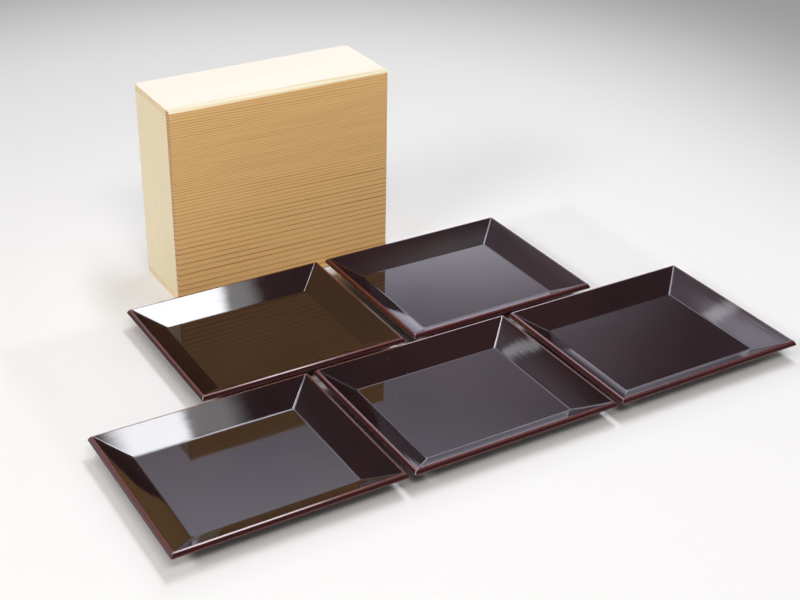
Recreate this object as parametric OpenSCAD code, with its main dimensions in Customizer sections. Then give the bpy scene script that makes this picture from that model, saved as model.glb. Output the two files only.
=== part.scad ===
// Five flared lacquer trays laid out in two rows in front of their wooden storage box.
// X runs to the right, Y away from the viewer and Z up.
// The origin is on the ground, in the middle of the set.
// The box stands on one long side with its lid facing the trays.

/* [Tray] */
// Length of a tray at its widest edge
tray_length = 183; // [150:1:220]
// Width of a tray at its widest edge
tray_width = 157.5; // [130:0.5:190]
// Depth of the dish from the rim to the floor
dish_depth = 13.4; // [10:0.1:18]
// Slope of the flared sides above level, in degrees
side_slope = 30; // [24:1:40]
// Thickness of the side boards, square to their faces
side_thickness = 4.6; // [2.5:0.1:6]
// Height of the two runners under the floor
runner_height = 1.2; // [1:0.1:4]
// Width of a runner
runner_width = 8; // [5:0.5:14]
// Distance of a runner from the edges of the floor
runner_inset = 5; // [2:0.5:12]

/* [Layout] */
// Gap between neighbours in the front row of three
front_row_gap = 4; // [2:0.5:20]
// Gap between the two trays of the back row
back_row_gap = 7; // [2:0.5:20]
// Gap between the rows
row_gap = 4.5; // [2:0.5:20]
// Shift of the back row to the right of the front row's middle
back_row_shift = 2; // [-20:0.5:20]
// Gap between the back row and the lid
lid_gap = 14.5; // [14:0.5:40]
// Shift of the box to the right of the front row's middle
box_shift = -25; // [-60:1:60]

/* [Box] */
// Thickness of the walls
wall = 8; // [6:0.5:12]
// Room beside a tray inside the box, on each side
tray_clearance = 4; // [2:0.5:8]
// Room left for wrapping above the nested trays
wrapping_room = 6; // [2:0.1:30]
// Thickness of the bottom board
bottom_thickness = 7; // [5:0.5:10]
// Depth of the rebate in the walls that takes the bottom
bottom_rebate = 4; // [2:0.5:5]
// Depth of the rebate in the long sides that takes the ends
corner_rebate = 2; // [1:0.5:4]

/* [Lid] */
// Thickness of the lid board
lid_thickness = 7; // [5:0.5:10]
// Radius of the lid's front edge along the top and the bottom
lid_edge_radius = 3.5; // [1:0.5:4.5]
// Width of a batten
batten_width = 14; // [10:1:24]
// Depth that a batten reaches into the mouth of the box
batten_depth = 9; // [6:0.5:11]
// Chamfer round the inner face of a batten
batten_chamfer = 2; // [0.5:0.5:3]
// Gap between the battens and the walls
batten_clearance = 0.8; // [0.4:0.1:1.5]
// Diameter of the pegs through the battens
peg_diameter = 3; // [2:0.1:4]
// Depth of the pegs in the lid board
peg_bite = 4; // [2:0.5:4.5]

/* [Hidden] */
$fn = 48;

front_trays = 3;
back_trays = 2;
tray_count = front_trays + back_trays;
pegs_per_batten = 3;

lacquer_colour = "#33201e";
runner_colour = "#241514";
pale_wood_colour = "#efe4c8";
lid_wood_colour = "#c49b62";
peg_colour = "#d8c39a";

// The sides are parallel-faced boards with square edges, flush with the floor's underside
floor_thickness = side_thickness / cos(side_slope);
dish_run = dish_depth / tan(side_slope);
rim_run = side_thickness * sin(side_slope);
rim_drop = side_thickness * cos(side_slope);
side_run = dish_run + rim_run;
floor_length = tray_length - 2 * side_run;
floor_width = tray_width - 2 * side_run;
floor_top = runner_height + floor_thickness;
tray_height = floor_top + dish_depth;

// The trays nest, each on the floor of the one below
nesting_step = floor_thickness + runner_height;
stack_height = tray_height + (tray_count - 1) * nesting_step;

box_length = tray_length + 2 * (tray_clearance + wall);
box_height = tray_width + 2 * (tray_clearance + wall);
body_depth = batten_depth + stack_height + wrapping_room + bottom_thickness;
mouth_length = box_length - 2 * wall;
mouth_height = box_height - 2 * wall;
batten_length = mouth_height - 2 * batten_clearance;
batten_middle = mouth_length / 2 - batten_clearance - batten_width / 2;
peg_spacing = batten_length / pegs_per_batten;

front_row_pitch = tray_length + front_row_gap;
back_row_pitch = tray_length + back_row_gap;
set_depth = 2 * tray_width + row_gap + lid_gap + lid_thickness + body_depth;
front_row_y = (tray_width - set_depth) / 2;
back_row_y = front_row_y + tray_width + row_gap;
lid_face_y = back_row_y + tray_width / 2 + lid_gap;
mouth_y = lid_face_y + lid_thickness;

// Size by which a cutting shape passes the face that it cuts
over = 1;

TRAY_PIECES = ["floor", "front_side", "back_side", "left_side", "right_side", "left_runner", "right_runner"];

// Steps of a place in a row of the given count from the row's middle, counted from 1 at the left
function steps_from_middle(place, count) = place - (count + 1) / 2;

// Middle of a tray: the front row is counted first, each row from left to right
function tray_place(tray) =
    tray <= front_trays
    ? [steps_from_middle(tray, front_trays) * front_row_pitch, front_row_y, 0]
    : [back_row_shift + steps_from_middle(tray - front_trays, back_trays) * back_row_pitch, back_row_y, 0];

// Height of a peg, counted from the lowest
function peg_height(peg) = box_height / 2 + steps_from_middle(peg, pegs_per_batten) * peg_spacing;

// Flat panel between the four sides
module tray_floor() {
    color(lacquer_colour)
        translate([-floor_length / 2, -floor_width / 2, runner_height])
            cube([floor_length, floor_width, floor_thickness]);
}

// Flared board that leans out from Y = 0 beside a floor edge of the given length, mitred at both ends
module flared_side(edge) {
    color(lacquer_colour)
        intersection() {
            rotate([90, 0, 90])
                linear_extrude(edge + 2 * side_run, center = true)
                    polygon([
                        [0, runner_height],
                        [side_run, tray_height - rim_drop],
                        [dish_run, tray_height],
                        [0, floor_top],
                    ]);
            linear_extrude(tray_height + over)
                polygon([
                    [-edge / 2, 0],
                    [edge / 2, 0],
                    [edge / 2 + side_run, side_run],
                    [-edge / 2 - side_run, side_run],
                ]);
        }
}

module tray_back_side() {
    translate([0, floor_width / 2, 0])
        flared_side(floor_length);
}

module tray_front_side() {
    rotate(180)
        tray_back_side();
}

module tray_left_side() {
    translate([-floor_length / 2, 0, 0])
        rotate(90)
            flared_side(floor_width);
}

module tray_right_side() {
    rotate(180)
        tray_left_side();
}

// Runner across the short way under the left end of the floor
module tray_left_runner() {
    color(runner_colour)
        translate([runner_inset - floor_length / 2, runner_inset - floor_width / 2, 0])
            cube([runner_width, floor_width - 2 * runner_inset, runner_height]);
}

module tray_right_runner() {
    rotate(180)
        tray_left_runner();
}

// Bottom board, let in flush with the back edges of the walls
module box_bottom() {
    long = mouth_length + 2 * bottom_rebate;
    high = mouth_height + 2 * bottom_rebate;
    color(pale_wood_colour)
        translate([box_shift - long / 2, mouth_y + body_depth - bottom_thickness, wall - bottom_rebate])
            cube([long, bottom_thickness, high]);
}

// End board between the long sides, with the rebate for the bottom
module box_left_end() {
    foot = wall - corner_rebate;
    color(pale_wood_colour)
        difference() {
            translate([box_shift - box_length / 2, mouth_y, foot])
                cube([wall, body_depth, box_height - 2 * foot]);
            box_bottom();
        }
}

module box_right_end() {
    translate([box_shift, 0, 0])
        mirror([1, 0, 0])
            translate([-box_shift, 0, 0])
                box_left_end();
}

// Long side that the box stands on, rebated for the ends and the bottom
module box_lower_side() {
    color(pale_wood_colour)
        difference() {
            translate([box_shift - box_length / 2, mouth_y, 0])
                cube([box_length, body_depth, wall]);
            box_left_end();
            box_right_end();
            box_bottom();
        }
}

module box_upper_side() {
    translate([0, 0, box_height])
        mirror([0, 0, 1])
            box_lower_side();
}

// Section of the lid up its height: square at the back, rounded at the top and the bottom of its front
module lid_section() {
    translate([-box_height / 2, lid_edge_radius])
        square([box_height, lid_thickness - lid_edge_radius]);
    translate([lid_edge_radius - box_height / 2, 0])
        square([box_height - 2 * lid_edge_radius, lid_thickness]);
    for (side = [-1, 1])
        translate([side * (box_height / 2 - lid_edge_radius), lid_edge_radius])
            circle(lid_edge_radius);
}

// Flat board over the mouth, sawn square at its ends, with blind holes for the pegs
module lid_board() {
    color(lid_wood_colour)
        difference() {
            translate([box_shift, lid_face_y, box_height / 2])
                rotate([0, 90, 0])
                    linear_extrude(box_length, center = true)
                        lid_section();
            peg_holes();
        }
}

// Batten across the lid beside the left end, chamfered where it enters the mouth
module lid_left_batten() {
    shoulder = batten_depth - batten_chamfer;
    color(lid_wood_colour)
        difference() {
            translate([box_shift - batten_middle, mouth_y, box_height / 2])
                intersection() {
                    linear_extrude(batten_length, center = true)
                        batten_section(batten_width, shoulder);
                    rotate([0, 90, 0])
                        linear_extrude(batten_width, center = true)
                            batten_section(batten_length, shoulder);
                }
            peg_holes();
        }
}

// Section of a batten along one side, from the lid at Y = 0
module batten_section(length, shoulder) {
    polygon([
        [-length / 2, 0],
        [length / 2, 0],
        [length / 2, shoulder],
        [length / 2 - batten_chamfer, batten_depth],
        [batten_chamfer - length / 2, batten_depth],
        [-length / 2, shoulder],
    ]);
}

module lid_right_batten() {
    translate([box_shift, 0, 0])
        mirror([1, 0, 0])
            translate([-box_shift, 0, 0])
                lid_left_batten();
}

// Round peg through a batten into the lid board: end is -1 on the left and 1 on the right.
// It stands out of the batten's inner face by proud.
module lid_peg(end, peg, proud = 0) {
    color(peg_colour)
        translate([box_shift + end * batten_middle, mouth_y - peg_bite, peg_height(peg)])
            rotate([-90, 0, 0])
                cylinder(h = peg_bite + batten_depth + proud, d = peg_diameter);
}

// Holes for the pegs, run out past the battens
module peg_holes() {
    for (end = [-1, 1])
        for (peg = [1 : pegs_per_batten])
            lid_peg(end, peg, over);
}

for (tray = [1 : tray_count])
    translate(tray_place(tray)) {
        tray_floor();
        tray_front_side();
        tray_back_side();
        tray_left_side();
        tray_right_side();
        tray_left_runner();
        tray_right_runner();
    }
box_lower_side();
box_upper_side();
box_left_end();
box_right_end();
box_bottom();
lid_board();
lid_left_batten();
lid_right_batten();
for (peg = [1 : pegs_per_batten]) {
    lid_peg(-1, peg);
    lid_peg(1, peg);
}
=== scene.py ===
"""Five flared lacquer trays in two rows, and their wooden box on its long side behind them."""

import math

import bmesh
import bpy
import numpy as np
from mathutils import Matrix, Vector


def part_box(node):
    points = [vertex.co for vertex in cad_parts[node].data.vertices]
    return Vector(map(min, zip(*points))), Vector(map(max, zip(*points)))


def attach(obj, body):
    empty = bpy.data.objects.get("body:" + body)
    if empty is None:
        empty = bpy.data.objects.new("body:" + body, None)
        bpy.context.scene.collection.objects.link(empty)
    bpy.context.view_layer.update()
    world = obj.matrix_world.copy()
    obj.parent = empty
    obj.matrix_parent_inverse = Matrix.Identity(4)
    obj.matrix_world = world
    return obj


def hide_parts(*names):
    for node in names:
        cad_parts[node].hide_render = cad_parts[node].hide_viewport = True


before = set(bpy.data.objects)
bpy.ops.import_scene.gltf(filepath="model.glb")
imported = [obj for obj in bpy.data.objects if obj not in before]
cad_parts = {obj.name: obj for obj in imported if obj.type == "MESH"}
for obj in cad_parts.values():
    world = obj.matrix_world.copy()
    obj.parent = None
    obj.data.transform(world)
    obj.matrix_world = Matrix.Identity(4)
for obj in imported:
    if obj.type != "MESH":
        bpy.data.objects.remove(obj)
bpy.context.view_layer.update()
box_middle = (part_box("box_lower_side")[0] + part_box("box_upper_side")[1]) / 2
front_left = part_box("tray_1_left_side")[0]
front_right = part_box("tray_3_right_side")[1]
back_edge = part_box("tray_4_back_side")[1]

MM = 0.001
TRAYS = [f"tray_{number}" for number in range(1, 6)]
TRAY_BOARDS = ("floor", "front_side", "back_side", "left_side", "right_side")

# Tray: the slope is the sides' own, the radii are those of the lacquer over the boards
SIDE_SLOPE = math.radians(30)
FLOOR_FILLET = 4.0 * MM
MITRE_FILLET = 2.2 * MM
RIM_CORNER = 1.2 * MM
TOP_CHAMFER = 1.15 * MM
CHAMFER_ROUND = 0.6 * MM
LOWER_ARRIS = 0.9 * MM
UNDERSIDE_EDGE = 1.5 * MM
SIDE_HOLLOW = 0.45 * MM
HOLLOW_MARGIN = 2.5 * MM
THIN_BAND = 0.3 * MM
RIM_MARK = 0.45
FLAT_INSET = 20 * MM
ARC_STEPS = 8
CORNER_STEPS = 8

# Lacquer: dust lies in cells, so many in a metre, and a share of them stays clean
LACQUER_IOR = 1.52
LACQUER_RELIEF = 0.10 * MM
DUST_CELLS = 75.0
CLEAN_SHARE = 0.60

# Boards of the box and the lid
BOARD_EASE = 0.5 * MM
RUNNER_EASE = 0.4 * MM
PEG_EASE = 0.2 * MM
EASE_SEGMENTS = 3
FLAT_WEIGHT = 100
MERGE_DISTANCE = 0.001 * MM
HAIR = 0.004 * MM
FLAT_ANGLE = math.radians(1)
EASED_ANGLE = math.radians(35)

# Wood: late wood as shares of a ring, widths and levels of the rings in millimetres
WOOD_RELIEF = 0.05 * MM
WOOD_SPECULAR = 0.35
LATE_WOOD = (0.62, 0.94, 0.95, 1.0)
LONG_BOARD_RING = 4.6
END_BOARD_RING = 5.6
BOTTOM_BOARD_RING = 6.5
BATTEN_RING = 2.6
LID_RINGS_PER_MM = 0.18
CLOSE_LEVEL = 185.0
CLOSE_SPREAD = 45.0
CLOSE_RINGS = 16.0

# Camera
PHOTO_WIDTH = 800
FOCAL_PIXELS = 1446.5
SENSOR_WIDTH = 36
CAMERA_PLACE = Vector((-0.5360, -0.9123, 0.6309))
CAMERA_HEADING = math.radians(31.225)
CAMERA_DIP = math.radians(29.406)
CAMERA_ROLL = math.radians(1.047)

# Floor
FLOOR_REACH = 14.0
FLOOR_LEVEL = -0.05 * MM
PAPER_GREYS = (0.80, 0.83)
PAPER_ROUGHNESS = 0.9
PAPER_SPECULAR = 0.1
# Painted shade: the paper's colour darkens away from the set, in place of light that falls off there
PAINTED_SHADE_START = 0.3
PAINTED_SHADE_REACH = (0.4, 1.05)
PAINTED_SHADE_SHARE = 0.58
FADE_MIDDLE = (-0.35, 0.35, 0.0)
FADE_REACH = (0.95, 1.9)
# Painted glow: the floor emits a little light to the camera and in a polish, outside a rectangle round
# the trays that reaches SHADOW_DEPTH in front of them, so that their shadows stay dark
PAINTED_GLOW = 0.05
PAINTED_GLOW_REACH = (0.0, 30 * MM)
SHADOW_DEPTH = 5 * MM

# Room: heights are sines of the climb above the horizon
ROOM_ABOVE = 0.17
ROOM_AROUND = 0.30
ROOM_TOP = (0.05, 0.45)
FAR_LEVEL = 0.36
FAR_TINT = (0.98, 0.99, 1.03, 1.0)
SKY_TINT = (0.98, 0.96, 1.14, 1.0)
ROOM_TINT = (1.0, 0.96, 0.93, 1.0)

# Room in the polish: headings in degrees to the right of +Y, edges in degrees from the heading
ZENITH = 0.16
HORIZON = 0.42
HORIZON_TOP = (0.0, 0.35)
SHEET_HEADING = 12
SHEET_EDGE = (33, 21)
SHEET_LIGHT = 0.75
STRIP_HEIGHTS = (0.26, 0.40, 0.42, 0.515)
STRIP_LIGHT = 2.2
NOTCH_EDGE = (26, 23)
NOTCH_HEIGHTS = (0.60, 0.66, 0.73, 0.76)
NOTCH_DEPTH = 0.42
SIDE_HEADING = 68
SIDE_EDGE = (20, 8)
SIDE_TOP = (0.50, 0.65)
SIDE_LIGHT = 0.7
GLOW_HEADING = 25
GLOW_EDGE = (25, 15)
GLOW_HEIGHTS = (0.537, 0.72, 0.82, 0.9)
GLOW_LIGHT = 2.6
CROWN_HEADING = (15, 71)
CROWN_EDGE = (17, 8)
CROWN_LIGHT = 6.0
SPOT_HEADING = (-9, 55)
SPOT_EDGE = (5, 2)
SPOT_LIGHT = 2.3
SKYLINE_HEADING = 40
SKYLINE_EDGE = (35, 22)
SKYLINE_TOP = (0.12, 0.26)
SKYLINE_LIGHT = 1.7

# Lamps
KEY_TINT = (0.98, 1.0, 1.04)
FILL_TINT = (1.0, 0.965, 0.94)
FILL_TARGET = (0, 0, 0.1)
PANEL_HEIGHT = 1.5
PANEL_HALO = 0.15
EDGE_SOFTNESS = 0.04
GLINT_WIDTH = 0.26
GLINT_SOFT = 0.4


class Thread:
    """A value on its way through a finish: a socket of a node tree. Arithmetic adds Math nodes."""

    def __init__(self, tree, socket=None):
        self.tree = tree
        self.socket = socket

    def node(self, kind, sockets=None, out=0, **settings):
        """Adds a node: its settings come first, then the values or links of its sockets."""
        made = self.tree.nodes.new(kind)
        for name, value in settings.items():
            setattr(made, name, value)
        for key, value in (sockets or {}).items():
            if isinstance(value, Thread):
                self.tree.links.new(value.socket, made.inputs[key])
            else:
                made.inputs[key].default_value = value
        return Thread(self.tree, made.outputs[out] if len(made.outputs) else None)

    def beside(self, out):
        """Another output of the node that this value comes from."""
        return Thread(self.tree, self.socket.node.outputs[out])

    def math(self, operation, *values):
        return self.node("ShaderNodeMath", dict(enumerate(values)), operation=operation)

    def vector(self, operation, *values, out=0):
        return self.node("ShaderNodeVectorMath", dict(enumerate(values)), out=out, operation=operation)

    def __add__(self, other):
        return self.math("ADD", self, other)

    def __sub__(self, other):
        return self.math("SUBTRACT", self, other)

    def __rsub__(self, other):
        return self.math("SUBTRACT", other, self)

    def __mul__(self, other):
        return self.math("MULTIPLY", self, other)

    def __truediv__(self, other):
        return self.math("DIVIDE", self, other)

    def __abs__(self):
        return self.math("ABSOLUTE", self)

    __radd__ = __add__
    __rmul__ = __mul__


def paint(red, green, blue):
    """The linear colour that a shader takes, from parts of 0 to 255 as a screen shows them."""
    shares = np.array((red, green, blue)) / 255
    linear = np.where(shares <= 0.04045, shares / 12.92, ((shares + 0.055) / 1.055) ** 2.4)
    return (*linear.tolist(), 1.0)


def grey(level):
    """A neutral linear colour."""
    return (level, level, level, 1.0)


def parts(vector):
    """The X, Y and Z of a vector."""
    x = vector.node("ShaderNodeSeparateXYZ", {0: vector})
    return x, x.beside(1), x.beside(2)


def rise(value, low, high):
    """0 below low, 1 above high, on a smooth curve between them."""
    limits = {"Value": value, "From Min": low, "From Max": high}
    return value.node("ShaderNodeMapRange", limits, interpolation_type="SMOOTHSTEP")


def fall(value, low, high):
    """1 below low, 0 above high, on the same smooth curve."""
    return 1 - rise(value, low, high)


def hump(value, low, lower, upper, high):
    """1 between lower and upper, falling smoothly to 0 at low and at high."""
    return rise(value, low, lower) * fall(value, upper, high)


def blend_colour(share, first, second):
    """The first colour where share is 0, the second where it is 1."""
    return share.node("ShaderNodeMix", {0: share, 6: first, 7: second}, out=2, data_type="RGBA")


def shade_colour(colour, light):
    """A colour made darker or lighter by a grey factor."""
    bright = light.node("ShaderNodeCombineColor", {0: light, 1: light, 2: light})
    sockets = {0: 1.0, 6: colour, 7: bright}
    return light.node("ShaderNodeMix", sockets, out=2, data_type="RGBA", blend_type="MULTIPLY")


def noise(place, scale, detail=2.0, roughness=0.5):
    """Cloudy values from 0 to 1. The scale counts the clouds in a metre along X, Y and Z."""
    stretched = place.vector("MULTIPLY", place, scale)
    sockets = {"Vector": stretched, "Scale": 1.0, "Detail": detail, "Roughness": roughness}
    return place.node("ShaderNodeTexNoise", sockets)


def new_finish(name):
    """An empty material and the thread that its nodes start from."""
    finish = bpy.data.materials.new(name)
    finish.use_nodes = True
    finish.node_tree.nodes.clear()
    return finish, Thread(finish.node_tree)


def close_finish(start, colour, roughness, height, depth, constants):
    """Ends a finish: height times depth, in metres, is the relief of the surface."""
    relief = start.node("ShaderNodeBump", {"Strength": 1.0, "Distance": depth, "Height": height})
    sockets = {"Base Color": colour, "Roughness": roughness, "Normal": relief, **constants}
    shader = start.node("ShaderNodeBsdfPrincipled", sockets)
    start.node("ShaderNodeOutputMaterial", {"Surface": shader})


def brown_lacquer():
    """Polished brown-black lacquer, redder where it thins over the edges, with the faint waves of
    brushed and rubbed coats, a few hazy patches and stray specks of dust. The brush ran along each
    side."""
    deep, clear = paint(27, 12, 12), paint(40, 20, 20)
    thinned, worn, dust = paint(50, 19, 18), paint(92, 36, 32), paint(190, 186, 184)
    finish, start = new_finish("brown_lacquer")
    place = start.node("ShaderNodeTexCoord", out="Object")
    facing_x, _, facing_z = parts(place.beside("Normal"))
    sideways = rise(abs(facing_x), 0.2, 0.3)
    sloped = fall(abs(facing_z), 0.90, 0.97)
    thin = start.node("ShaderNodeAttribute", out="Fac", attribute_name="thin_lacquer")
    clouds = noise(place, (9, 9, 9), 3.0)
    colour = blend_colour(rise(clouds, 0.3, 0.7), deep, clear)
    patchy = thin * (rise(noise(place, (120, 120, 120)), 0.2, 0.8) * 0.3 + 0.7)
    colour = blend_colour(rise(patchy, 0.0, 0.45), colour, thinned)
    colour = blend_colour(rise(patchy, 0.45, 0.9), colour, worn)
    cells = {"Vector": place, "Scale": DUST_CELLS}
    distance = start.node("ShaderNodeTexVoronoi", cells, out="Distance")
    cell = distance.beside("Color")
    lot = cell.node("ShaderNodeSeparateColor", {0: cell})
    speck = fall(distance, 0.018, 0.034) * rise(lot, CLEAN_SHARE, CLEAN_SHARE + 0.02)
    colour = blend_colour(speck * 0.6, colour, dust)
    haze = rise(noise(place, (26, 26, 26), 4.0, 0.6), 0.45, 0.8)
    roughness = 0.035 + haze * 0.03 + thin * 0.08 + speck * 0.3
    along_x = noise(place, (30, 320, 320))
    along_y = noise(place, (320, 30, 320))
    brushed = along_x + sideways * (along_y - along_x)
    waves = noise(place, (15, 15, 15), 1.0) * (0.6 + sloped * 1.4) + brushed * (0.02 + sloped * 0.28)
    close_finish(start, colour, roughness, waves, LACQUER_RELIEF, {"IOR": LACQUER_IOR})
    return finish


def wood(name, grain, rings, early, late, end_early, end_late, toned=None):
    """Straight-grained wood: rings gives how many growth rings lie between a place, in millimetres,
    and the pith. In each ring the early wood darkens slowly into the late wood and then starts
    afresh. The fibres run along grain, an axis from 0 to 2, and the sawn ends have colours of their
    own. A toned front is a pair of colours for the face that has darkened with age, up to its
    upright edges."""
    finish, start = new_finish(name)
    place = start.node("ShaderNodeTexCoord", out="Object")
    facing = parts(place.beside("Normal"))

    def clouds(along, across, detail=2.0, roughness=0.5):
        """Cloudy values, so many in a metre along the fibres and across them."""
        scale = [along if axis == grain else across for axis in range(3)]
        return noise(place, scale, detail, roughness)

    wander = clouds(4.0, 30.0) * 1.6 + clouds(1.5, 110.0) * 3.2
    x, y, z = (part / MM for part in parts(place))
    count = rings(x, y, z, wander)
    share = count.math("FRACT", count)
    strength = rise(clouds(9.0, 160.0), 0.25, 0.75) * 0.65 + 0.35
    band = hump(share, *LATE_WOOD) * strength
    fibres = clouds(22.0, 1500.0, 3.0, 0.65)
    drift = clouds(3.0, 14.0)
    colour = blend_colour(band, early, late)
    if toned:
        front = abs(facing[0]) * 0.75 - facing[1]
        colour = blend_colour(rise(front, 0.86, 0.99), colour, blend_colour(band, *toned))
    sawn = rise(abs(facing[grain]), 0.6, 0.95)
    colour = blend_colour(sawn, colour, blend_colour(band, end_early, end_late))
    colour = shade_colour(colour, 0.86 + fibres * 0.17 + drift * 0.11)
    roughness = 0.52 + fibres * 0.16
    relief = band * 0.1 + fibres * 0.4
    close_finish(start, colour, roughness, relief, WOOD_RELIEF, {"Specular IOR Level": WOOD_SPECULAR})
    return finish


def lid_rings(x, y, z, wander):
    """Rings rise up the lid: wide at the foot, close together high up, wider again at the top. The
    count is a straight line plus a hyperbolic tangent, so the rings are closest at its middle."""
    level = z + x * 0.015 + y * 0.35 + wander
    close = (level - CLOSE_LEVEL) / CLOSE_SPREAD
    return level * LID_RINGS_PER_MM + close.math("TANH", close) * CLOSE_RINGS


def long_board_rings(x, y, z, wander):
    """Rings cross the long boards from the mouth to the back, leaning through their thickness."""
    return (y + abs(z - box_middle.z / MM) * 0.45 + wander * 1.5) / LONG_BOARD_RING


def end_board_rings(x, y, z, wander):
    """Rings cross the end boards from the mouth to the back."""
    return (y + abs(x - box_middle.x / MM) * 0.5 + wander * 1.5) / END_BOARD_RING


def bottom_board_rings(x, y, z, wander):
    """Rings rise up the bottom board, which stands at the back of the box."""
    return (z + y * 0.5 + wander * 2.0) / BOTTOM_BOARD_RING


def batten_rings(x, y, z, wander):
    """Rings cross the battens and the pegs slantwise."""
    return (x + y * 0.7 + wander) / BATTEN_RING


def rounded_section(corners):
    """A section line through corners, each given as a point, a radius and a mark, in order of travel.

    A point is a complex number, outwards + 1j * upwards. Where the line turns by an angle a at a
    corner of radius r, an arc takes its place: it starts r * tan(a / 2) before the corner, and the
    point that lies a share s along it is
    start + direction * r * (exp(1j * a * s) - 1) / (1j * sign(a)).
    Returns the points, the directions of travel there and the marks, as whole arrays."""
    points = np.array([corner[0] for corner in corners])
    legs = np.diff(points)
    headings = legs / np.abs(legs)
    line = [points[:1]]
    travel = [headings[:1]]
    marks = [np.array([corners[0][2]])]
    share = np.linspace(0, 1, ARC_STEPS + 1)
    for (point, radius, mark), into, out in zip(corners[1:-1], headings[:-1], headings[1:]):
        turn = np.angle(out / into)
        if radius > 0:
            start = point - into * radius * math.tan(abs(turn) / 2)
            swing = np.exp(1j * turn * share)
            line.append(start + into * radius * (swing - 1) / (1j * np.sign(turn)))
            travel.append(into * swing)
        else:
            line.append(np.array([point]))
            travel.append(np.array([into]))
        marks.append(np.full(len(line[-1]), mark))
    line.append(points[-1:])
    travel.append(headings[-1:])
    marks.append(np.array([corners[-1][2]]))
    return np.concatenate(line), np.concatenate(travel), np.concatenate(marks)


def tray_section(floor_top, floor_under, rim_top, side_run):
    """The tray's section from its flat floor over the rim to its flat underside, as rounded_section
    gives it. A side is a board with a square edge, so the lower arris lies furthest out. Its top
    arris is chamfered, and its inner face is a shallow hollow: a wide arc between the floor's fillet
    and the rim."""
    board = (floor_top - floor_under) * math.cos(SIDE_SLOPE)
    up_slope = np.exp(1j * SIDE_SLOPE)
    down_edge = -1j * up_slope
    floor_edge = 1j * floor_top
    lower_arris = side_run + 1j * (rim_top - board * math.cos(SIDE_SLOPE))
    top_arris = lower_arris - down_edge * board
    under_edge = 1j * floor_under
    hollow = (floor_edge + top_arris) / 2 + down_edge * SIDE_HOLLOW
    half_side = abs(top_arris - floor_edge) / 2
    hollow_radius = (half_side - HOLLOW_MARGIN) * half_side / SIDE_HOLLOW
    inner_slope = (top_arris - hollow) / abs(top_arris - hollow)
    return rounded_section([
        (floor_edge - FLAT_INSET, 0, 0),
        (floor_edge, FLOOR_FILLET, 0),
        (hollow, hollow_radius, 0),
        (top_arris - inner_slope * (TOP_CHAMFER + THIN_BAND), 0, 0),
        (top_arris - inner_slope * TOP_CHAMFER, CHAMFER_ROUND, 1),
        (top_arris + down_edge * TOP_CHAMFER, CHAMFER_ROUND, 1),
        (top_arris + down_edge * (TOP_CHAMFER + THIN_BAND), 0, RIM_MARK),
        (lower_arris - down_edge * (LOWER_ARRIS + THIN_BAND), 0, RIM_MARK),
        (lower_arris, LOWER_ARRIS, 1),
        (lower_arris - up_slope * (LOWER_ARRIS + THIN_BAND), 0, 0),
        (under_edge, UNDERSIDE_EDGE, 0),
        (under_edge - FLAT_INSET, 0, 0),
    ])


def tray_shell(tray):
    """One tray as a seamless lacquered shell.

    The section is carried round the floor's outline, a rectangle with rounded corners: at a distance
    d outside the floor the half lengths grow by d, and a corner point is its arc's centre plus the
    corner radius r times (cos t, sin t). The corner radius shrinks up the inside of the sides. With a
    direction of travel (d', z') and r' the change of r along it, the normal is
    (-z' cos t, -z' sin t, (d' - r') * (|cos t| + |sin t|) + r')."""
    floor_low, floor_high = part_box(f"{tray}_floor")
    rim_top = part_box(f"{tray}_front_side")[1].z
    side_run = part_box(f"{tray}_right_side")[1].x - floor_high.x
    half = (floor_high - floor_low) / 2
    centre = (floor_high + floor_low) / 2
    line, travel, thin = tray_section(floor_high.z, floor_low.z, rim_top, side_run)
    out = line.real[:, None]
    up = line.imag[:, None]
    inside = np.arange(len(line))[:, None] <= np.argmax(line.imag)
    narrowing = (RIM_CORNER - MITRE_FILLET) / side_run
    radius = MITRE_FILLET + narrowing * np.clip(out, 0, side_run)
    radius_change = np.where(inside & (out > 0), narrowing * travel.real[:, None], 0)

    quarter = np.linspace(0, math.pi / 2, CORNER_STEPS + 1)
    turn = (np.arange(4)[:, None] * math.pi / 2 + quarter).ravel()
    side_x = np.repeat((1, -1, -1, 1), CORNER_STEPS + 1)
    side_y = np.repeat((1, 1, -1, -1), CORNER_STEPS + 1)
    cos, sin = np.cos(turn), np.sin(turn)
    x = centre.x + side_x * (half.x + out - radius) + radius * cos
    y = centre.y + side_y * (half.y + out - radius) + radius * sin
    points = np.stack([x, y, np.broadcast_to(up, x.shape)], -1)
    lean = -travel.imag[:, None]
    lift = (travel.real[:, None] - radius_change) * (np.abs(cos) + np.abs(sin)) + radius_change
    normals = np.stack([lean * cos, lean * sin, lift], -1)
    normals /= np.linalg.norm(normals, axis=-1, keepdims=True)

    rings, around = x.shape
    ring, step = np.meshgrid(np.arange(rings - 1), np.arange(around), indexing="ij")
    following = (step + 1) % around
    corners = (ring * around + step, (ring + 1) * around + step,
               (ring + 1) * around + following, ring * around + following)
    quads = np.stack(corners, -1).reshape(-1, 4)
    floor_cap = np.arange(around)
    under_cap = (rings - 1) * around + floor_cap[::-1]
    faces = [*quads.tolist(), floor_cap.tolist(), under_cap.tolist()]
    mesh = bpy.data.meshes.new(f"{tray}_lacquer")
    mesh.from_pydata(points.reshape(-1, 3), [], faces)
    mark = mesh.attributes.new("thin_lacquer", "FLOAT", "POINT")
    mark.data.foreach_set("value", np.repeat(thin, around).astype(np.float32))
    mesh.shade_smooth()
    mesh.normals_split_custom_set_from_vertices(normals.reshape(-1, 3))
    return mesh


def trim_back(work, back):
    """Cuts a board off square to Y just short of its back and closes it again, so that nothing is
    left over the end of its rebate."""
    everything = [*work.verts, *work.edges, *work.faces]
    cut = bmesh.ops.bisect_plane(work, geom=everything, dist=MERGE_DISTANCE,
                                 plane_co=(0, back - HAIR, 0), plane_no=(0, 1, 0), clear_outer=True)
    rim = [piece for piece in cut["geom_cut"] if isinstance(piece, bmesh.types.BMEdge)]
    bmesh.ops.edgeloop_fill(work, edges=rim)


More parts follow.
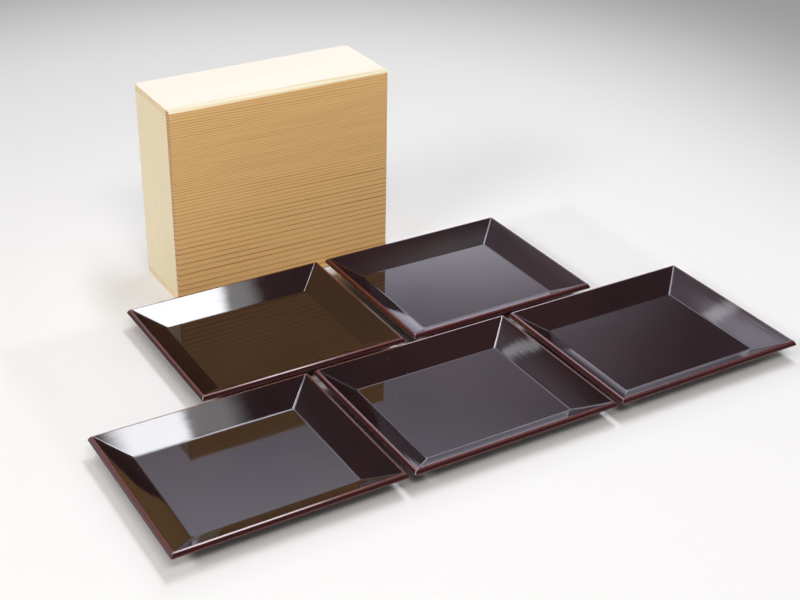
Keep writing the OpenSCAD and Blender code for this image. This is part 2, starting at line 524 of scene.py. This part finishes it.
def eased_board(node, ease, rebated=False):
    """A copy of a board with its flat faces made whole and its outer edges eased by a bevel."""
    mesh = bpy.data.meshes.new(f"{node}_eased")
    work = bmesh.new()
    work.from_mesh(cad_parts[node].data)
    bmesh.ops.remove_doubles(work, verts=work.verts, dist=MERGE_DISTANCE)
    if rebated:
        trim_back(work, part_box(node)[1].y)
    bmesh.ops.dissolve_limit(work, angle_limit=FLAT_ANGLE, verts=work.verts, edges=work.edges)
    bmesh.ops.recalc_face_normals(work, faces=work.faces)
    eased = work.edges.layers.float.new("bevel_weight_edge")
    for edge in work.edges:
        edge[eased] = float(edge.is_convex and edge.calc_face_angle() > EASED_ANGLE)
    work.to_mesh(mesh)
    work.free()
    old_normals = mesh.attributes.get("custom_normal")
    if old_normals:
        mesh.attributes.remove(old_normals)
    mesh.shade_smooth()
    piece = add_piece(f"{node}_eased", mesh)
    bevel = piece.modifiers.new("eased edges", "BEVEL")
    bevel.width = ease
    bevel.segments = EASE_SEGMENTS
    bevel.limit_method = "WEIGHT"
    flats = piece.modifiers.new("flat faces", "WEIGHTED_NORMAL")
    flats.weight = FLAT_WEIGHT
    return piece


def add_piece(name, mesh):
    """Puts a mesh into the scene under a name."""
    piece = bpy.data.objects.new(name, mesh)
    bpy.context.scene.collection.objects.link(piece)
    return piece


def dress(piece, finish, body, slot, *nodes):
    """Gives a piece its finish, hangs it on the empty of the body that it rides on and hides the nodes
    that it stands for.
    """
    piece.data.materials.clear()
    piece.data.materials.append(finish)
    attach(piece, body)
    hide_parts(*nodes)


def set_camera():
    """The camera stands to the left, looks down on the set and is turned a little about its axis."""
    lens = bpy.data.cameras.new("camera")
    lens.sensor_fit = "HORIZONTAL"
    lens.sensor_width = SENSOR_WIDTH
    lens.lens = FOCAL_PIXELS * SENSOR_WIDTH / PHOTO_WIDTH
    camera = bpy.data.objects.new("camera", lens)
    turn = Matrix.Rotation(-CAMERA_HEADING, 4, "Z")
    dip = Matrix.Rotation(math.pi / 2 - CAMERA_DIP, 4, "X")
    roll = Matrix.Rotation(CAMERA_ROLL, 4, "Z")
    camera.matrix_world = Matrix.Translation(CAMERA_PLACE) @ turn @ dip @ roll
    bpy.context.scene.collection.objects.link(camera)
    bpy.context.scene.camera = camera


def soft_lamp(name, place, target, width, depth, radiance, tint=KEY_TINT):
    """A rectangular soft lamp at a place, aimed at a target. Its power is the radiance of its face
    times pi times its area."""
    lamp = bpy.data.lights.new(name, "AREA")
    lamp.shape = "RECTANGLE"
    lamp.size = width
    lamp.size_y = depth
    lamp.energy = radiance * math.pi * width * depth
    lamp.color = tint
    holder = bpy.data.objects.new(name, lamp)
    aim = (Vector(target) - Vector(place)).to_track_quat("-Z", "Y").to_matrix().to_4x4()
    holder.matrix_world = Matrix.Translation(place) @ aim
    bpy.context.scene.collection.objects.link(holder)
    return lamp


def feather(lamp, soft, edge=1.0, halo=0.0):
    """Dims a lamp's face towards its edges, over a share of its width and depth: the product of a
    smooth hump across it and one along it. Past a share edge of its width only the halo is left."""
    lamp.use_nodes = True
    lamp.node_tree.nodes.clear()
    start = Thread(lamp.node_tree)
    across, along, _ = parts(start.node("ShaderNodeNewGeometry", out="Parametric"))
    lit = hump(across, 0.0, soft, 1 - soft, 1.0) * hump(along, 0.0, soft, 1 - soft, 1.0)
    step = 1 - rise(across, edge - EDGE_SOFTNESS, edge + EDGE_SOFTNESS) * (1 - halo)
    light = blend_colour(lit * step, grey(0.0), grey(1.0))
    glow = start.node("ShaderNodeEmission", {"Color": light, "Strength": 1.0})
    start.node("ShaderNodeOutputLight", {"Surface": glow})


def hang_panel(name, x, y, width, depth, radiance, soft, edge=1.0, halo=0.0):
    """A feathered panel overhead that shines straight down."""
    panel = soft_lamp(name, (x, y, PANEL_HEIGHT), (x, y, 0), width, depth, radiance)
    feather(panel, soft, edge, halo)


def seen_rays(start):
    """Two masks: what the camera sees by itself, and what it sees in a polish or through glass. Both
    are 0 for light that is cast."""
    by_itself = start.node("ShaderNodeLightPath", out="Is Camera Ray")
    turned = by_itself.beside("Is Glossy Ray") + by_itself.beside("Is Transmission Ray")
    return by_itself, rise(turned, 0.0, 1.0)


def studio_floor():
    """A wide pale sheet under the set, which fades into the room. Painted shade darkens its colour
    towards the back and the sides, with the distance from a line that starts behind the set and runs
    forward without end, and a painted glow makes it a little paler, to the camera and in a polish,
    outside the rectangle that the trays and their shadows cover."""
    outline = np.array([(-1, -1), (1, -1), (1, 1), (-1, 1)]) * FLOOR_REACH
    mesh = bpy.data.meshes.new("floor")
    mesh.from_pydata(np.column_stack([outline, np.full(4, FLOOR_LEVEL)]), [], [(0, 1, 2, 3)])
    floor = add_piece("floor", mesh)
    finish, start = new_finish("pale_paper")
    place = start.node("ShaderNodeTexCoord", out="Object")
    x, y, _ = parts(place)
    fibres = noise(place, (900, 900, 900), 3.0)
    colour = blend_colour(fibres, *(grey(level) for level in PAPER_GREYS))
    # Painted shade: darken the paper's colour with the distance from a line behind the set
    back = y.math("MAXIMUM", y - PAINTED_SHADE_START, 0.0)
    away = x.math("SQRT", x * x + back * back)
    colour = shade_colour(colour, 1 - rise(away, *PAINTED_SHADE_REACH) * PAINTED_SHADE_SHARE)
    sockets = {"Base Color": colour, "Roughness": PAPER_ROUGHNESS, "Specular IOR Level": PAPER_SPECULAR}
    paper = start.node("ShaderNodeBsdfPrincipled", sockets)
    # Painted glow: an emission that makes the floor paler outside the rectangle of the trays and their
    # shadows
    beside_trays = x.math("MAXIMUM", front_left.x - x, x - front_right.x)
    along_trays = y.math("MAXIMUM", front_left.y - SHADOW_DEPTH - y, y - back_edge.y)
    around = rise(x.math("MAXIMUM", beside_trays, along_trays), *PAINTED_GLOW_REACH)
    by_itself, in_polish = seen_rays(start)
    lift = blend_colour(around * (by_itself + in_polish), grey(0.0), grey(1.0))
    pale = start.node("ShaderNodeEmission", {"Color": lift, "Strength": PAINTED_GLOW})
    paper = start.node("ShaderNodeAddShader", {0: paper, 1: pale})
    far = start.node("ShaderNodeEmission", {"Color": FAR_TINT, "Strength": FAR_LEVEL})
    spread = place.vector("DISTANCE", place, FADE_MIDDLE, out="Value")
    mixed = start.node("ShaderNodeMixShader", {0: rise(spread, *FADE_REACH), 1: paper, 2: far})
    start.node("ShaderNodeOutputMaterial", {"Surface": mixed})
    mesh.materials.append(finish)


def heading(azimuth, elevation=0.0):
    """The direction that lies so many degrees to the right of +Y and so many above the horizon."""
    turn, climb = math.radians(azimuth), math.radians(elevation)
    return (math.sin(turn) * math.cos(climb), math.cos(turn) * math.cos(climb), math.sin(climb))


def toward(direction, middle, outer, inner):
    """1 within an angle of inner degrees of a heading, falling to 0 at outer degrees."""
    near = direction.vector("DOT_PRODUCT", direction, middle, out="Value")
    return rise(near, math.cos(math.radians(outer)), math.cos(math.radians(inner)))


def studio_world():
    """An even pale room. The camera sees it as grey as the far floor. A polished surface sees a white
    sheet behind the set, with a bright strip and a dim notch in it, a lit side to the right, the glow
    of lamps higher up, a bright skyline, a grey horizon and darkness overhead."""
    world = bpy.data.worlds.new("studio")
    bpy.context.scene.world = world
    world.use_nodes = True
    world.node_tree.nodes.clear()
    start = Thread(world.node_tree)
    direction = start.node("ShaderNodeTexCoord", out="Generated")
    level = direction.vector("MULTIPLY", direction, (1, 1, 0))
    level = level.vector("NORMALIZE", level)
    up = parts(direction)[2]
    strip = hump(up, *STRIP_HEIGHTS)
    notch = toward(level, heading(SHEET_HEADING), *NOTCH_EDGE) * hump(up, *NOTCH_HEIGHTS)
    sheet = toward(level, heading(SHEET_HEADING), *SHEET_EDGE)
    sheet = sheet * (SHEET_LIGHT + strip * STRIP_LIGHT - notch * NOTCH_DEPTH)
    side = toward(level, heading(SIDE_HEADING), *SIDE_EDGE) * fall(up, *SIDE_TOP) * SIDE_LIGHT
    glow = toward(level, heading(GLOW_HEADING), *GLOW_EDGE) * hump(up, *GLOW_HEIGHTS) * GLOW_LIGHT
    crown = toward(direction, heading(*CROWN_HEADING), *CROWN_EDGE) * CROWN_LIGHT
    spot = toward(direction, heading(*SPOT_HEADING), *SPOT_EDGE) * SPOT_LIGHT
    skyline = toward(level, heading(SKYLINE_HEADING), *SKYLINE_EDGE)
    skyline = skyline * fall(abs(up), *SKYLINE_TOP) * SKYLINE_LIGHT
    horizon = fall(abs(up), *HORIZON_TOP) * (HORIZON - ZENITH)
    backdrop = ZENITH + sheet + side + glow + spot + crown + skyline + horizon
    by_itself, in_polish = seen_rays(start)
    room = ROOM_ABOVE + fall(abs(up), *ROOM_TOP) * ROOM_AROUND
    bright = room + by_itself * (FAR_LEVEL - room) + in_polish * (backdrop - room)
    tint = blend_colour(by_itself, blend_colour(in_polish, ROOM_TINT, SKY_TINT), FAR_TINT)
    light = start.node("ShaderNodeBackground", {"Color": shade_colour(tint, bright), "Strength": 1.0})
    start.node("ShaderNodeOutputWorld", {"Surface": light})


def studio_lamps():
    """Two feathered panels overhead, a weak one to the right, two that shine in the rims of the first
    and the fourth tray, broad fills in front and to the left, and two small lamps behind that glint
    in the right sides of the second and the third tray. The numbers of a panel are its middle in X
    and Y, its width, its depth and its radiance."""
    hang_panel("near_panel", 0.245, -0.24, 0.29, 0.32, 20.0, soft=0.2, edge=0.586, halo=PANEL_HALO)
    hang_panel("far_panel", 0.365, 0.09, 0.33, 0.34, 22.0, soft=0.12, edge=0.757, halo=PANEL_HALO)
    hang_panel("side", 1.0, 0.18, 0.7, 0.5, 0.7, soft=0.45)
    hang_panel("rim_panel_1", 0.31, 0.34, 0.34, 0.22, 14.0, soft=0.2)
    hang_panel("rim_panel_4", 0.54, 0.65, 0.20, 0.26, 14.0, soft=0.2)
    soft_lamp("front_fill", (-0.6, -1.7, 2.15), FILL_TARGET, 1.2, 0.5, 15.5, FILL_TINT)
    soft_lamp("left_fill", (-1.9, -0.5, 1.35), FILL_TARGET, 0.9, 0.4, 20.0, FILL_TINT)
    for name, place, target, depth, radiance in (
        ("glint_2", (-0.125, 0.586, 0.714), (0.078, -0.097, 0.013), 0.032, 3.2),
        ("glint_3", (0.150, 0.482, 0.796), (0.268, -0.129, 0.013), 0.04, 2.8),
    ):
        feather(soft_lamp(name, place, target, GLINT_WIDTH, depth, radiance), GLINT_SOFT)


set_camera()
studio_floor()
studio_world()
studio_lamps()
bpy.context.scene.view_settings.view_transform = "Standard"

lacquer = brown_lacquer()
for tray in TRAYS:
    shell = add_piece(f"{tray}_lacquer", tray_shell(tray))
    dress(shell, lacquer, tray, "lacquer", *(f"{tray}_{board}" for board in TRAY_BOARDS))
    for side in ("left", "right"):
        runner = f"{tray}_{side}_runner"
        dress(eased_board(runner, RUNNER_EASE), lacquer, tray, "lacquer", runner)

# Colours of each wood: early wood, then late wood
# The long boards, the box's top among them, are paler and less yellow than the end boards: partly their
# own tint, partly a painted highlight of the brightly lit top
pale = (paint(236, 229, 216), paint(230, 219, 200))
ivory = (paint(238, 226, 192), paint(234, 219, 183))
sawn = (paint(236, 216, 178), paint(222, 194, 152))
raw = (paint(226, 218, 190), paint(205, 178, 132))
lid_sawn = (paint(204, 160, 108), paint(98, 52, 28))
tan = (paint(238, 194, 130), paint(176, 118, 62))

long_boards = wood("long_boards", 0, long_board_rings, *pale, *sawn)
end_boards = wood("end_boards", 2, end_board_rings, *ivory, *sawn)
bottom_board = wood("bottom_board", 0, bottom_board_rings, *pale, *sawn)
lid_front = wood("lid_front", 0, lid_rings, *raw, *lid_sawn, toned=tan)
battens = wood("battens", 2, batten_rings, *raw, *lid_sawn)
pegs = wood("pegs", 1, batten_rings, *raw, *lid_sawn)

for node, finish in {
    "box_lower_side": long_boards,
    "box_upper_side": long_boards,
    "box_left_end": end_boards,
    "box_right_end": end_boards,
}.items():
    dress(eased_board(node, BOARD_EASE, rebated=True), finish, "box", "pale_wood", node)
dress(eased_board("box_bottom", BOARD_EASE), bottom_board, "box", "pale_wood", "box_bottom")

dress(eased_board("lid_board", BOARD_EASE), lid_front, "lid", "lid_wood", "lid_board")
for side in ("left", "right"):
    batten = f"lid_{side}_batten"
    dress(eased_board(batten, BOARD_EASE), battens, "lid", "lid_wood", batten)
    for number in range(1, 4):
        peg = f"lid_{side}_peg_{number}"
        dress(eased_board(peg, PEG_EASE), pegs, "lid", "peg_wood", peg)
